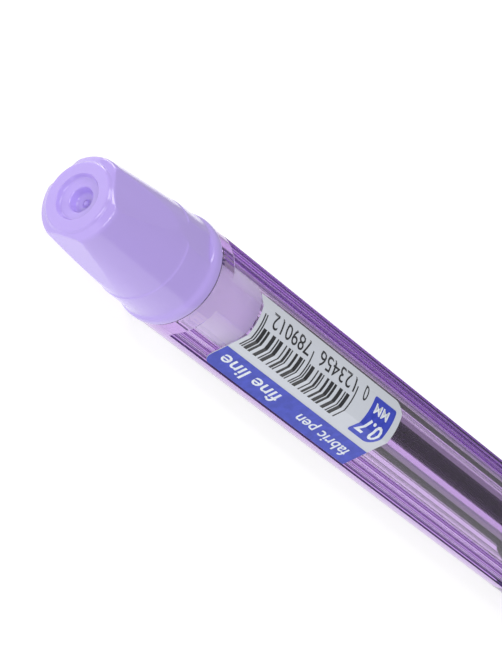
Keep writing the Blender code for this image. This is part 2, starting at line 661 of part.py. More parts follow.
HOLDER_AT = NOSE_END_AT - HOLDER_LENGTH
CUP_END_AT = CAP_END_AT - CAP_END_PLUG_LENGTH - FIT
NOSE_SLOPE = (NOSE_R - CLEAR - NOSE_TIP_R) / (NOSE_LENGTH - TENON_LENGTH)
CUP_OVERLAP = (CUP_R - CUP_WALL - FIT - NOSE_TIP_R) / NOSE_SLOPE
CUP_LENGTH = CUP_END_AT - NOSE_END_AT + CUP_OVERLAP
FOOT_AT = CAP_END_AT - CLIP_FROM_END - CLIP_FOOT / 2
CLIP_FLOOR_Z = AXIS_Z + CAP_HALF - CLIP_FOOT_DEPTH

make_barrel()
make_plug()
make_label()
make_refill()
make_point()
make_grip()
make_nose()
make_cap()
make_cap_inside()
make_clip()
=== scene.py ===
"""The looks of a capped stick pen for marking fabric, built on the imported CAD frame.

Places along the pen (s) count from the rim, where the rear plug's flange meets the
barrel, towards the point. Turns count in degrees from straight up towards -Y.
"""
import math

import bmesh
import bpy
from mathutils import Matrix, Vector


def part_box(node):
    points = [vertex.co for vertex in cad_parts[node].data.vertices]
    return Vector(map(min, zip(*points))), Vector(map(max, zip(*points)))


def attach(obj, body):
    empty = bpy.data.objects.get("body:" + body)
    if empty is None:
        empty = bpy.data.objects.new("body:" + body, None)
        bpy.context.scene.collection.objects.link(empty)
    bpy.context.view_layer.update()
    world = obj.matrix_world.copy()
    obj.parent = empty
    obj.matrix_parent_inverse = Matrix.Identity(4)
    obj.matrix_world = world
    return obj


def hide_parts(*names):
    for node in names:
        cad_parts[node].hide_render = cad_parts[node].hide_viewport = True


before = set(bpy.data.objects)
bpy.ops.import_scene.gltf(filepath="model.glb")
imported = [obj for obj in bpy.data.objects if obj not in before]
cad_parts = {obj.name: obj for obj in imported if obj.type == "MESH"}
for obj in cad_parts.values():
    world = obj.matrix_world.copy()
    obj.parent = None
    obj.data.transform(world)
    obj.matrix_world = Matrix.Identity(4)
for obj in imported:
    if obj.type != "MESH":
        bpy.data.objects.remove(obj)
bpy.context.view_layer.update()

MM = 0.001
CLEAR = 0.3 * MM            # between neighbouring pieces that sit loosely
FIT = 0.1 * MM              # between thin nested pieces
TINY_R = 1e-7               # a ring smaller than this is a pole
NEARLY = 0.999              # share of a size that still counts as inside it


def span(node, axis=0):
    low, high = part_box(node)
    return low[axis], high[axis]


# --- sizes read from the frame ---
PLUG_LOW, PLUG_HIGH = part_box("rear_plug")
AXIS_Y = (PLUG_LOW[1] + PLUG_HIGH[1]) / 2
AXIS_Z = (PLUG_LOW[2] + PLUG_HIGH[2]) / 2
FLANGE_R = (PLUG_HIGH[1] - PLUG_LOW[1]) / 2
RIM_X = span("barrel")[0] - FIT
PLUG_END = PLUG_LOW[0] - RIM_X
SPIGOT_END = PLUG_HIGH[0] - RIM_X
BARREL_END = span("barrel")[1] - RIM_X
BARREL_R = (span("barrel", 1)[1] - span("barrel", 1)[0]) / 2
MOUTH = span("cap_shell")[0] - RIM_X
CAP_END = span("cap_shell")[1] - RIM_X
SHOULDER = MOUTH - CLEAR
NOSE_START, NOSE_END = (x - RIM_X for x in span("nose_cone"))
NOSE_R = (span("nose_cone", 1)[1] - span("nose_cone", 1)[0]) / 2
GRIP_START, GRIP_END = (x - RIM_X for x in span("grip_sleeve"))
GRIP_R = (span("grip_sleeve", 1)[1] - span("grip_sleeve", 1)[0]) / 2
LABEL_START, LABEL_END = (x - RIM_X for x in span("label"))
FOLLOWER_LOW, FOLLOWER_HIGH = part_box("ink_follower")

# --- barrel section ---
HALF_FLATS = 4.79 * MM      # axis to each wide flat
FLAT_START = 2.4 * MM
FLAT_STEP = 0.25 * MM
BORE_R = 3.4 * MM
FRONT_BORE_R = 2.9 * MM
NECK_R = 3.8 * MM
TENON_R = 3.6 * MM
TENON_LENGTH = 5 * MM
SEAT_R = 4.6 * MM
SEAT_LENGTH = 4.5 * MM
PANEL_DEPTH = 0.1 * MM
PANEL_INSET = 0.3 * MM
PANEL_EDGE = 0.08 * MM      # width of the slope down into a panel
FLUTE_COUNT = 3
FLUTE_FIRST = 0.62 * MM
FLUTE_PITCH = 0.92 * MM
FLUTE_R = 0.38 * MM
FLUTE_DEPTH = 0.3 * MM
FLUTE_HALF_WIDTH = math.sqrt(FLUTE_R ** 2 - (FLUTE_R - FLUTE_DEPTH) ** 2)
FLAT_HALF_TURN = math.degrees(math.acos(HALF_FLATS / BARREL_R))
FLAT_HALF_WIDTH = math.sqrt(BARREL_R ** 2 - HALF_FLATS ** 2)

# --- plug ---
PLUG_FLAT_TURNS = (11, 131, 251)
PLUG_FLAT_R = 5.02 * MM
PLUG_FLAT_SLOPE = math.tan(math.radians(8.4))
PLUG_FLAT_BEND = -6.8 * MM
PLUG_FLAT_ENDS = (-1.5 * MM, -6.9 * MM, -6.9 * MM)
PLUG_FLAT_REACH = 1.0       # radians to each side of a flat's middle
PLUG_PLAIN_R = 3.2 * MM     # inside this radius the plug's end has no flats
PLUG_FLAT_SOFT = 0.03 * MM
SPIGOT_WALL = 0.9 * MM


def place(s, radius, turn):
    """The world point at a place along the pen, a radius and a turn."""
    a = math.radians(turn)
    return Vector((RIM_X + s, AXIS_Y - radius * math.sin(a), AXIS_Z + radius * math.cos(a)))


# --- materials ---

def shader_material(name):
    made = bpy.data.materials.new(name)
    made.use_nodes = True
    return made, made.node_tree, made.node_tree.nodes["Principled BSDF"]


def noise(tree, scale, detail=3.0, stretch=(1, 1, 1)):
    """Noise in the object's own space, stretched by a mapping."""
    where = tree.nodes.new("ShaderNodeTexCoord")
    mapping = tree.nodes.new("ShaderNodeMapping")
    mapping.inputs["Scale"].default_value = stretch
    made = tree.nodes.new("ShaderNodeTexNoise")
    made.inputs["Scale"].default_value = scale
    made.inputs["Detail"].default_value = detail
    tree.links.new(where.outputs["Object"], mapping.inputs["Vector"])
    tree.links.new(mapping.outputs["Vector"], made.inputs["Vector"])
    return made.outputs["Fac"]


def ramp(tree, value, low, high, start=0.3, end=0.7):
    made = tree.nodes.new("ShaderNodeValToRGB")
    made.color_ramp.elements[0].position = start
    made.color_ramp.elements[1].position = end
    made.color_ramp.elements[0].color = (*low, 1)
    made.color_ramp.elements[1].color = (*high, 1)
    tree.links.new(value, made.inputs["Fac"])
    return made.outputs["Color"]


def spread(tree, value, low, high):
    made = tree.nodes.new("ShaderNodeMapRange")
    made.inputs["To Min"].default_value = low
    made.inputs["To Max"].default_value = high
    tree.links.new(value, made.inputs["Value"])
    return made.outputs["Result"]


def bump(tree, shader, value, strength, distance):
    made = tree.nodes.new("ShaderNodeBump")
    made.inputs["Strength"].default_value = strength
    made.inputs["Distance"].default_value = distance
    tree.links.new(value, made.inputs["Height"])
    tree.links.new(made.outputs["Normal"], shader.inputs["Normal"])


def plastic(name, colour, roughness, vary=0.04, subsurface=0.0, grain=0.15, coat=0.0, ior=1.5,
            glow=0.0):
    """Moulded plastic: slow mottling, faint flow marks along the pen and fine grain.
    A little glow stands in for light that soaks through a thin wall."""
    made, tree, shader = shader_material(name)
    low = tuple(c * (1 - vary) for c in colour)
    high = tuple(min(c * (1 + vary), 1) for c in colour)
    flow = noise(tree, 160, 4, (0.35, 1, 1))
    tree.links.new(ramp(tree, flow, low, high), shader.inputs["Base Color"])
    tree.links.new(spread(tree, noise(tree, 900, 2), roughness * 0.85, roughness * 1.15),
                   shader.inputs["Roughness"])
    shader.inputs["Subsurface Weight"].default_value = subsurface
    shader.inputs["Subsurface Radius"].default_value = (0.9, 0.7, 1.0)
    shader.inputs["Subsurface Scale"].default_value = 1.2 * MM
    shader.inputs["Coat Weight"].default_value = coat
    shader.inputs["Coat Roughness"].default_value = 0.08
    shader.inputs["IOR"].default_value = ior
    shader.inputs["Emission Color"].default_value = (*colour, 1)
    shader.inputs["Emission Strength"].default_value = glow
    bump(tree, shader, noise(tree, 2200, 2), grain, 0.01 * MM)
    return made


def clear_plastic(name, absorb, density, ior, roughness):
    """See-through plastic that takes its colour from its depth."""
    made, tree, shader = shader_material(name)
    shader.inputs["Base Color"].default_value = (1, 1, 1, 1)
    shader.inputs["Transmission Weight"].default_value = 1
    shader.inputs["IOR"].default_value = ior
    shader.inputs["Roughness"].default_value = roughness
    bump(tree, shader, noise(tree, 240, 2, (0.15, 1, 1)), 0.12, 0.004 * MM)
    soak = tree.nodes.new("ShaderNodeVolumeAbsorption")
    soak.inputs["Color"].default_value = (*absorb, 1)
    soak.inputs["Density"].default_value = density
    tree.links.new(soak.outputs["Volume"], tree.nodes["Material Output"].inputs["Volume"])
    return made


def turned_metal(name, colour, roughness, ring_scale):
    """Metal with fine rings left by the lathe."""
    made, tree, shader = shader_material(name)
    shader.inputs["Base Color"].default_value = (*colour, 1)
    shader.inputs["Metallic"].default_value = 1
    rings = noise(tree, ring_scale, 2, (1, 0.02, 0.02))
    tree.links.new(spread(tree, rings, roughness * 0.7, roughness * 1.3),
                   shader.inputs["Roughness"])
    bump(tree, shader, rings, 0.3, 0.01 * MM)
    return made


def print_ink(name, colour, gaps):
    """Ink printed on film, a little uneven."""
    made, tree, shader = shader_material(name)
    high = tuple(min(c * 1.25 + 0.01, 1) for c in colour)
    tree.links.new(ramp(tree, noise(tree, gaps, 5), colour, high, 0.35, 0.65),
                   shader.inputs["Base Color"])
    shader.inputs["Roughness"].default_value = 0.42
    bump(tree, shader, noise(tree, 5200, 2), 0.1, 0.006 * MM)
    return made


LILAC = plastic("lilac_plastic", (0.475, 0.36, 0.83), 0.2, vary=0.02, subsurface=0.05, coat=0.5)
# Painted light: the spigot is the plug's lilac plastic, and its near-white colour and glow stand
# in for light soaking through its thin wall
SPIGOT = plastic("lilac_spigot", (0.81, 0.84, 0.89), 0.4, vary=0.02, subsurface=0.2, glow=0.42)
VIOLET = clear_plastic("clear_violet", (0.50, 0.05, 0.79), 205, 1.585, 0.015)
TUBE = clear_plastic("clear_tube", (0.7, 0.5, 0.86), 160, 1.31, 0.05)
INK = plastic("violet_ink", (0.012, 0.002, 0.024), 0.6, vary=0.3, grain=0.05, ior=1.05)
GREASE = plastic("follower_grease", (0.62, 0.56, 0.66), 0.2, vary=0.1, subsurface=0.4)
HOLDER = plastic("holder_plastic", (0.78, 0.76, 0.82), 0.35, subsurface=0.3)
NICKEL = turned_metal("nickel_silver", (0.72, 0.70, 0.66), 0.25, 9000)
CARBIDE = turned_metal("carbide", (0.33, 0.33, 0.35), 0.12, 14000)
RUBBER = plastic("violet_rubber", (0.25, 0.17, 0.47), 0.62, vary=0.08, grain=0.6)
WHITE = plastic("white_plastic", (0.84, 0.84, 0.82), 0.4, subsurface=0.2)
FILM = plastic("label_film", (0.66, 0.69, 0.76), 0.4, vary=0.03, grain=0.5)
BLACK_INK = print_ink("black_print", (0.012, 0.012, 0.016), 1500)
BLUE_INK = print_ink("blue_print", (0.028, 0.05, 0.47), 1500)
WHITE_INK = print_ink("white_print", (0.72, 0.76, 0.86), 2600)


# --- shapes ---

def finish_mesh(name, mesh, mat, body, sharp=32.0):
    mesh.materials.append(mat)
    mesh.shade_smooth()
    mesh.set_sharp_from_angle(angle=math.radians(sharp))
    obj = bpy.data.objects.new(name, mesh)
    bpy.context.scene.collection.objects.link(obj)
    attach(obj, body)
    return obj


def skin(name, rings, ring_closed):
    """A mesh from rings of points, one after another. A ring with one point is a
    pole. ring_closed joins the last ring to the first."""
    work = bmesh.new()
    made = [[work.verts.new(p) for p in ring] for ring in rings]
    pairs = list(zip(made, made[1:]))
    if ring_closed:
        pairs.append((made[-1], made[0]))
    for a, b in pairs:
        count = max(len(a), len(b))
        for i in range(count):
            j = (i + 1) % count
            corners = [a[i % len(a)], a[j % len(a)], b[j % len(b)], b[i % len(b)]]
            corners = list(dict.fromkeys(corners))
            if len(corners) > 2:
                work.faces.new(corners)
    bmesh.ops.recalc_face_normals(work, faces=work.faces)
    mesh = bpy.data.meshes.new(name)
    work.to_mesh(mesh)
    work.free()
    return mesh


def rounded_corners(corners, steps):
    """A line through corners of (s, radius, rounding). Its two ends stay sharp."""
    out = []
    for i, (s, r, size) in enumerate(corners):
        if not size or i in (0, len(corners) - 1):
            out.append((s, r))
            continue
        here = Vector((s, r))
        back = Vector(corners[i - 1][:2]) - here
        ahead = Vector(corners[i + 1][:2]) - here
        a = here + back.normalized() * min(size, back.length * 0.49)
        b = here + ahead.normalized() * min(size, ahead.length * 0.49)
        for k in range(steps + 1):
            t = k / steps
            p = a * (1 - t) ** 2 + here * 2 * t * (1 - t) + b * t ** 2
            out.append((p.x, p.y))
    return out


def split_runs(profile, longest):
    """A profile with points added, so that no run along the pen is too long."""
    out = [profile[0]]
    for (s0, r0), (s1, r1) in zip(profile, profile[1:]):
        steps = max(int(abs(s1 - s0) / longest), 1)
        out += [(s0 + (s1 - s0) * k / steps, r0 + (r1 - r0) * k / steps)
                for k in range(1, steps + 1)]
    return out


def even_turns(count):
    return [360.0 * i / count for i in range(count)]


def lathe(name, profile, turns, ring_closed=False, shape=None):
    """A turned mesh. shape(s, r, turn) can press the outside in, as for a flat."""
    rings = []
    for s, r in profile:
        if r < TINY_R:
            rings.append([place(s, 0, 0)])
        else:
            rings.append([place(s, shape(s, r, t) if shape else r, t) for t in turns])
    return skin(name, rings, ring_closed)


def soft_least(a, b, soft):
    """The lesser of two lengths, blended where they are nearly equal."""
    h = max(soft - abs(a - b), 0) / soft
    return min(a, b) - h * h * soft / 4


# --- rear plug ---

def plug_shape(s, r, turn):
    """The plug's three flats: level beside the flange, sloping in towards the end."""
    if r < PLUG_PLAIN_R:
        return r
    out = r
    for middle, end in zip(PLUG_FLAT_TURNS, PLUG_FLAT_ENDS):
        off = math.radians((turn - middle + 180) % 360 - 180)
        if abs(off) < PLUG_FLAT_REACH and s < end + FLAT_STEP:
            flat = PLUG_FLAT_R + min(s - PLUG_FLAT_BEND, 0) * PLUG_FLAT_SLOPE
            flat += max(s - end, 0) * 2
            out = soft_least(out, flat / math.cos(off), PLUG_FLAT_SOFT)
    return out


def build_plug():
    """The plug's body, turned from corners of (s, radius, rounding), and its spigot."""
    end = PLUG_END
    corners = [(0, 0, 0), (0, BORE_R - FIT - SPIGOT_WALL, 0), (0, FLANGE_R - 0.4 * MM, 0),
               # flange and collar
               (0, FLANGE_R, 0.42 * MM), (-0.95 * MM, FLANGE_R, 0.3 * MM),
               (-1.45 * MM, 5.28 * MM, 0.25 * MM), (-2.4 * MM, 5.22 * MM, 0),
               (-5.1 * MM, 5.19 * MM, 0.06 * MM), (-5.3 * MM, 5.1 * MM, 0.08 * MM),
               # tapered body
               (-8.0 * MM, 4.93 * MM, 0), (-11.5 * MM, 4.67 * MM, 0),
               # shoulder and the raised ring on the end
               (end + 0.95 * MM, 4.39 * MM, 0.16 * MM), (end + 0.64 * MM, 4.25 * MM, 0.16 * MM),
               (end + 0.3 * MM, 3.6 * MM, 0.05 * MM), (end, 3.4 * MM, 0.16 * MM),
               # recess, hole and the pip left by the mould's gate
               (end, 2.3 * MM, 0.06 * MM), (end + 0.5 * MM, 2.08 * MM, 0.15 * MM),
               (end + 0.66 * MM, 1.25 * MM, 0.15 * MM), (end + 1.55 * MM, 1.0 * MM, 0.3 * MM),
               (end + 1.62 * MM, 0.4 * MM, 0.12 * MM), (end + 1.35 * MM, 0.18 * MM, 0.1 * MM),
               (end + 1.3 * MM, 0, 0)]
    profile = split_runs(rounded_corners(corners, 5), 0.4 * MM)
    mesh = lathe("plug_body", profile, even_turns(288), shape=plug_shape)
    body = finish_mesh("plug_body", mesh, LILAC, "plug", 50)
    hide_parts("rear_plug")
    outer = BORE_R - FIT
    inner = outer - SPIGOT_WALL
    rear = 0.02 * MM
    tube = [(rear, outer, 0), (SPIGOT_END, outer, 0.3 * MM), (SPIGOT_END, inner, 0.1 * MM),
            (rear, inner, 0), (rear, outer, 0)]
    spigot = lathe("plug_spigot", rounded_corners(tube, 3)[:-1], even_turns(128),
                   ring_closed=True)
    finish_mesh("plug_spigot", spigot, SPIGOT, "plug", 40)


# --- barrel ---

def flute_dip(t, s, start, end):
    """How deep a face is cut at t from its middle, on its fluted side. A flute ends
    in a quarter of a ball."""
    dip = 0.0
    near = min(s - start, end - s)
    if t > -PANEL_INSET and near > 0:
        dip = PANEL_DEPTH * min((t + PANEL_INSET) / PANEL_EDGE, 1) * min(near / PANEL_DEPTH, 1)
    for k in range(FLUTE_COUNT):
        past_end = max(FLUTE_HALF_WIDTH - near, 0)
        away = math.hypot(t - FLUTE_FIRST - k * FLUTE_PITCH, past_end)
        if away < FLUTE_HALF_WIDTH:
            dip = max(dip, math.sqrt(FLUTE_R ** 2 - away ** 2) - FLUTE_R + FLUTE_DEPTH)
    return dip


def fluted_side(face):
    """The side of a face that is fluted: +1 is towards the next turn."""
    return 1 if face in (1, 2) else -1


def barrel_turns():
    """Turns close together where the section has flutes or edges."""
    edge = 0.03 * MM
    window_step = 0.38 * MM
    turns = []
    for face in range(4):
        side = fluted_side(face)
        ts = [-FLAT_HALF_WIDTH + edge + i * window_step for i in range(6)]
        ts += [-PANEL_INSET, -PANEL_INSET + PANEL_EDGE, -FIT, FIT]
        for k in range(FLUTE_COUNT):
            centre = FLUTE_FIRST + k * FLUTE_PITCH
            ts += [centre + FLUTE_HALF_WIDTH * math.sin(math.radians(a))
                   for a in range(-90, 91, 15)]
        ts += [FLAT_HALF_WIDTH * NEARLY]
        flat = [math.degrees(math.atan2(t, HALF_FLATS)) for t in ts
                if abs(t) < FLAT_HALF_WIDTH]
        turns += [90 * face + side * t for t in flat]
        first, last = FLAT_HALF_TURN, 90 - FLAT_HALF_TURN
        turns += [90 * face + first + (last - first) * i / 12 for i in range(13)]
    return sorted({round(t % 360, 4) for t in turns})


def barrel_shape(s, r, turn):
    start, end = FLAT_START, SHOULDER - FLAT_START
    near = min(s - start, end - s)
    if near < -FLAT_STEP or r < BARREL_R * NEARLY:
        return r
    face = round(turn / 90)
    off = turn - 90 * face
    flat = HALF_FLATS + max(-near, 0) * (BARREL_R - HALF_FLATS) / FLAT_STEP
    t = HALF_FLATS * math.tan(math.radians(off))
    flat -= flute_dip(fluted_side(face % 4) * t, s, start, end)
    return min(r, flat / math.cos(math.radians(off)))


def build_barrel():
    start, end = FLAT_START, SHOULDER - FLAT_START
    # places close together where the flutes' round ends are
    steps = [-FLAT_STEP, 0, 0.05 * MM, 0.1 * MM, 0.17 * MM, 0.25 * MM, 0.33 * MM, 0.42 * MM]
    along = [start + d for d in steps] + [end - d for d in reversed(steps)]
    rear = 0.04 * MM
    edge = 0.12 * MM
    lead = 1.5 * MM             # slope at each end of the cap's seat
    seat_end = SHOULDER + SEAT_LENGTH
    tenon = BARREL_END - TENON_LENGTH
    narrow = SHOULDER - SEAT_LENGTH
    outside = [(rear, BARREL_R), (FLAT_START / 2, BARREL_R)]
    outside += [(s, BARREL_R) for s in along]
    outside += [(SHOULDER - edge, BARREL_R), (SHOULDER, BARREL_R - edge)]
    neck = [(SHOULDER, SEAT_R - CLEAR), (SHOULDER + lead, SEAT_R), (seat_end - lead, SEAT_R),
            (seat_end, SEAT_R - CLEAR), (seat_end, NECK_R), (tenon, NECK_R),
            (tenon, TENON_R), (BARREL_END, TENON_R)]
    inside = [(BARREL_END, FRONT_BORE_R), (narrow, FRONT_BORE_R),
              (narrow - BORE_R + FRONT_BORE_R, BORE_R), (FIT + CLEAR, BORE_R),
              (rear, BORE_R + CLEAR)]
    mesh = lathe("barrel_tube", outside + neck + inside, barrel_turns(), ring_closed=True,
                 shape=barrel_shape)
    obj = finish_mesh("barrel_tube", mesh, VIOLET, "pen_body", 24)
    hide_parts("barrel")


# --- refill ---

REFILL_WALL = 0.3 * MM
REFILL_BEND_AT = MOUTH - 11.5 * MM
REFILL_BEND_LENGTH = 20 * MM
REFILL_STEP = 1.5 * MM
INK_OVERLAP = 0.02 * MM     # ink and grease wet the tube and each other
# from the axis to the refill's middle, where it leans on the bore's side
LEAN = Vector((0, (FOLLOWER_LOW[1] + FOLLOWER_HIGH[1]) / 2 - AXIS_Y,
               (FOLLOWER_LOW[2] + FOLLOWER_HIGH[2]) / 2 - AXIS_Z))


def refill_middle(s):
    """The refill's middle: it leans at the rear and bends back to the axis in front."""
    bend = min(max((s - REFILL_BEND_AT) / REFILL_BEND_LENGTH, 0), 1)
    return place(s, 0, 0) + LEAN * (1 + math.cos(math.pi * bend)) / 2


def refill_piece(name, mat, node, profile, ring_closed):
    """A round piece along the refill's line. Profile points are (s, radius)."""
    filled = []
    for (s0, r0), (s1, r1) in zip(profile, profile[1:] + profile[:1]):
        steps = max(int(abs(s1 - s0) / REFILL_STEP), 1)
        filled += [(s0 + (s1 - s0) * k / steps, r0 + (r1 - r0) * k / steps) for k in range(steps)]
    if not ring_closed:
        filled = filled[:filled.index(profile[-1]) + 1]
    count = 64
    rings = []
    for s, r in filled:
        middle = refill_middle(s)
        if r < TINY_R:
            rings.append([middle])
            continue
        along = (refill_middle(s + FIT) - refill_middle(s - FIT)).normalized()
        across = along.cross(Vector((0, 0, 1))).normalized()
        up = across.cross(along)
        rings.append([middle + r * (across * math.cos(math.tau * i / count)
                                    + up * math.sin(math.tau * i / count))
                      for i in range(count)])
    obj = finish_mesh(name, skin(name, rings, ring_closed), mat, "pen_body", 40)
    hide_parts(node)


def build_refill():
    low, high = span("refill_tube")
    start, end = low - RIM_X, high - RIM_X
    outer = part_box("refill_tube")[1][1] - (AXIS_Y + LEAN.y)
    inner = outer - REFILL_WALL
    refill_piece("refill_sleeve", TUBE, "refill_tube",
                 [(end, outer), (start, outer), (start, inner), (end, inner)], True)
    wet = inner + INK_OVERLAP
    ink_start, ink_end = (x - RIM_X for x in span("ink_column"))
    grease_start, grease_end = FOLLOWER_LOW[0] - RIM_X, ink_start - INK_OVERLAP
    refill_piece("ink", INK, "ink_column",
                 [(ink_end, 0), (ink_end, wet), (ink_start, wet), (ink_start, 0)], False)
    refill_piece("grease", GREASE, "ink_follower",
                 [(grease_end, 0), (grease_end, wet), (grease_start, wet),
                  (grease_start + 0.5 * MM, 0)], False)


# --- label and its print ---

LABEL_ON_TOP = 1.35 * MM
LABEL_ON_FRONT = 5.0 * MM
LABEL_LIFT = 0.05 * MM
LABEL_THICKNESS = 0.1 * MM
CORNER_LENGTH = math.radians(90 - 2 * FLAT_HALF_TURN) * BARREL_R
CORNER_CUTS = 14            # strips across the round corner
PRINT_THICKNESS = 0.012 * MM
CODE_MODULES = 95           # width of the bar code in its narrowest bars


def wrapped(s, across, lift):
    """The point at s, and at a distance across the label from the edge between the
    top flat and the round corner. Negative is on the top flat."""
    if across < 0:
        flat = HALF_FLATS + lift
        return Vector((RIM_X + s, AXIS_Y - (FLAT_HALF_WIDTH + across), AXIS_Z + flat))
    if across < CORNER_LENGTH:
        turn = FLAT_HALF_TURN + math.degrees(across / BARREL_R)
        return place(s, BARREL_R + lift, turn)
    flat = HALF_FLATS + lift
    down = FLAT_HALF_WIDTH - (across - CORNER_LENGTH)
    return Vector((RIM_X + s, AXIS_Y - flat, AXIS_Z + down))


def wrap(name, mesh, lift, mat):
    """Bends a flat solid onto the label. Its own x is s, y is across, z is height."""
    work = bmesh.new()
    work.from_mesh(mesh)
    lo = min(v.co.y for v in work.verts)
    hi = max(v.co.y for v in work.verts)
    for y in (CORNER_LENGTH * k / CORNER_CUTS for k in range(CORNER_CUTS + 1)):
        if lo < y < hi:
            geom = work.verts[:] + work.edges[:] + work.faces[:]
            bmesh.ops.bisect_plane(work, geom=geom, plane_co=(0, y, 0), plane_no=(0, 1, 0))
    for v in work.verts:
        v.co = wrapped(v.co.x, v.co.y, lift + v.co.z)
    bmesh.ops.triangulate(work, faces=work.faces)
    bmesh.ops.recalc_face_normals(work, faces=work.faces)
    work.to_mesh(mesh)
    work.free()
    mesh.name = name
    return finish_mesh(name, mesh, mat, "pen_body", 20)


def slab_mesh(outlines, thickness):
    """Flat outlines, lists of (s, across), as solids with a thickness."""
    work = bmesh.new()
    for outline in outlines:
        low = [work.verts.new((x, y, 0)) for x, y in outline]
        high = [work.verts.new((x, y, thickness)) for x, y in outline]
        work.faces.new(low[::-1])
        work.faces.new(high)
        for i in range(len(outline)):
            j = (i + 1) % len(outline)
            work.faces.new((low[i], low[j], high[j], high[i]))
    mesh = bpy.data.meshes.new("slab")
    work.to_mesh(mesh)
    work.free()
    return mesh


def corner_points(corners, radii, steps=6):
    """An outline with rounded corners."""
    out = []
    count = len(corners)
    for i, corner in enumerate(corners):
        here = Vector(corner)
        if not radii[i]:
            out.append(tuple(here))
            continue
        back = (Vector(corners[i - 1]) - here).normalized() * radii[i]
        ahead = (Vector(corners[(i + 1) % count]) - here).normalized() * radii[i]
        for k in range(steps + 1):
            a = math.pi / 2 * k / steps
            out.append(tuple(here + back * (1 - math.sin(a)) + ahead * (1 - math.cos(a))))
    return out


def text_mesh(words, height, left, base, width, bold=0.0):
    """Words as solids. They read from large s to small s, with their tops away from
    the top flat. left is the s where they start and base the height they stand on."""
    curve = bpy.data.curves.new("words", "FONT")
    curve.body = words
    curve.extrude = PRINT_THICKNESS / 2
    curve.offset = bold
    curve.resolution_u = 3
    source = bpy.data.objects.new("words", curve)
    bpy.context.scene.collection.objects.link(source)
    evaluated = source.evaluated_get(bpy.context.evaluated_depsgraph_get())
    mesh = bpy.data.meshes.new_from_object(evaluated)
    bpy.data.objects.remove(source)
    xs = [v.co.x for v in mesh.vertices]
    ys = [v.co.y for v in mesh.vertices]
    tall = height / (max(ys) - min(ys))
    wide = width / (max(xs) - min(xs))
    for v in mesh.vertices:
        v.co = ((left - (v.co.x - min(xs)) * wide), base + (v.co.y - min(ys)) * tall,
                v.co.z + PRINT_THICKNESS / 2)
    return mesh


def joined(meshes):
    work = bmesh.new()
    for mesh in meshes:
        work.from_mesh(mesh)
    bmesh.ops.remove_doubles(work, verts=work.verts, dist=1e-9)
    out = bpy.data.meshes.new("joined")
    work.to_mesh(out)
    work.free()
    return out


def bar_outlines(start, end, low, high, guard_low):
    """Upright bars of a made-up code, with longer guard bars at its ends and middle.
    The widths of the others follow a fixed rule and mean nothing."""
    module = (end - start) / CODE_MODULES
    left_end, right_start, right_end = 45, 50, CODE_MODULES - 3
    bars, at, step = [], 0, 0
    while at < CODE_MODULES:
        guard = at < 3 or left_end <= at < right_start or at >= right_end
        if guard:
            width, gap = 1, 1
        else:
            width, gap = 1 + (step * 7 + step // 3) % 3, 1 + (step * 5 + 2) % 3
            limit = left_end if at < left_end else right_end
            width = min(width, limit - at)
        bars.append((start + at * module, start + (at + width) * module,
                     guard_low if guard else low))
        at += width + gap
        step += 1
    return [[(a, b0), (b, b0), (b, high), (a, high)] for a, b, b0 in bars]


def build_label():
    """The film, and its print: a band with words, bars, digits and the size mark.
    Across the film, 0 is the edge of the top flat."""
    low, high = -LABEL_ON_TOP, CORNER_LENGTH + LABEL_ON_FRONT
    s0, s1 = LABEL_START, LABEL_END
    outline = corner_points([(s0, low), (s1, low), (s1, high), (s0, high)],
                            [0.15 * MM, 0.7 * MM, 0.15 * MM, 1.0 * MM])
    film = wrap("label_film", slab_mesh([outline], LABEL_THICKNESS), LABEL_LIFT, FILM)
    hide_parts("label")
    top = LABEL_LIFT + LABEL_THICKNESS
    band_low = CORNER_LENGTH + 2.2 * MM
    band = corner_points([(s0, band_low), (s1, band_low), (s1, high), (s0, high)],
                         [0, 0, 0.15 * MM, 1.0 * MM])
    wrap("label_band", slab_mesh([band], PRINT_THICKNESS), top, BLUE_INK)
    words = [text_mesh("fabric pen", 1.65 * MM, 32.2 * MM, band_low + 0.6 * MM,
                       width=9.4 * MM, bold=0.01),
             text_mesh("fine line", 1.5 * MM, 18.9 * MM, band_low + 0.7 * MM,
                       width=10.2 * MM, bold=0.01)]
    wrap("label_words", joined(words), top + PRINT_THICKNESS, WHITE_INK)
    bars = bar_outlines(8.1 * MM, 25.5 * MM, 1.7 * MM, 4.4 * MM, 0.5 * MM)
    wrap("label_bars", slab_mesh(bars, PRINT_THICKNESS), top, BLACK_INK)
    digits = [text_mesh(words, 1.5 * MM, left, -0.2 * MM, width=width)
              for words, left, width in (("0", 27.4 * MM, 0.8 * MM),
                                         ("123456", 25.0 * MM, 6.8 * MM),
                                         ("789012", 16.4 * MM, 6.8 * MM))]
    wrap("label_digits", joined(digits), top, BLACK_INK)
    box = corner_points([(28.6 * MM, 0.1 * MM), (32.7 * MM, 0.1 * MM), (32.6 * MM, 4.5 * MM),
                         (28.3 * MM, 4.5 * MM)], [0.3 * MM, 0.3 * MM, 1.2 * MM, 0.3 * MM])
    wrap("label_size_box", slab_mesh([box], PRINT_THICKNESS), top, BLUE_INK)
    mark = [text_mesh("0.7", 1.75 * MM, 32.2 * MM, 2.25 * MM, width=3.5 * MM, bold=0.02),
            text_mesh("MM", 1.0 * MM, 31.7 * MM, 0.65 * MM, width=2.5 * MM, bold=0.015)]
    wrap("label_size_mark", joined(mark), top + PRINT_THICKNESS, WHITE_INK)


# --- front section ---

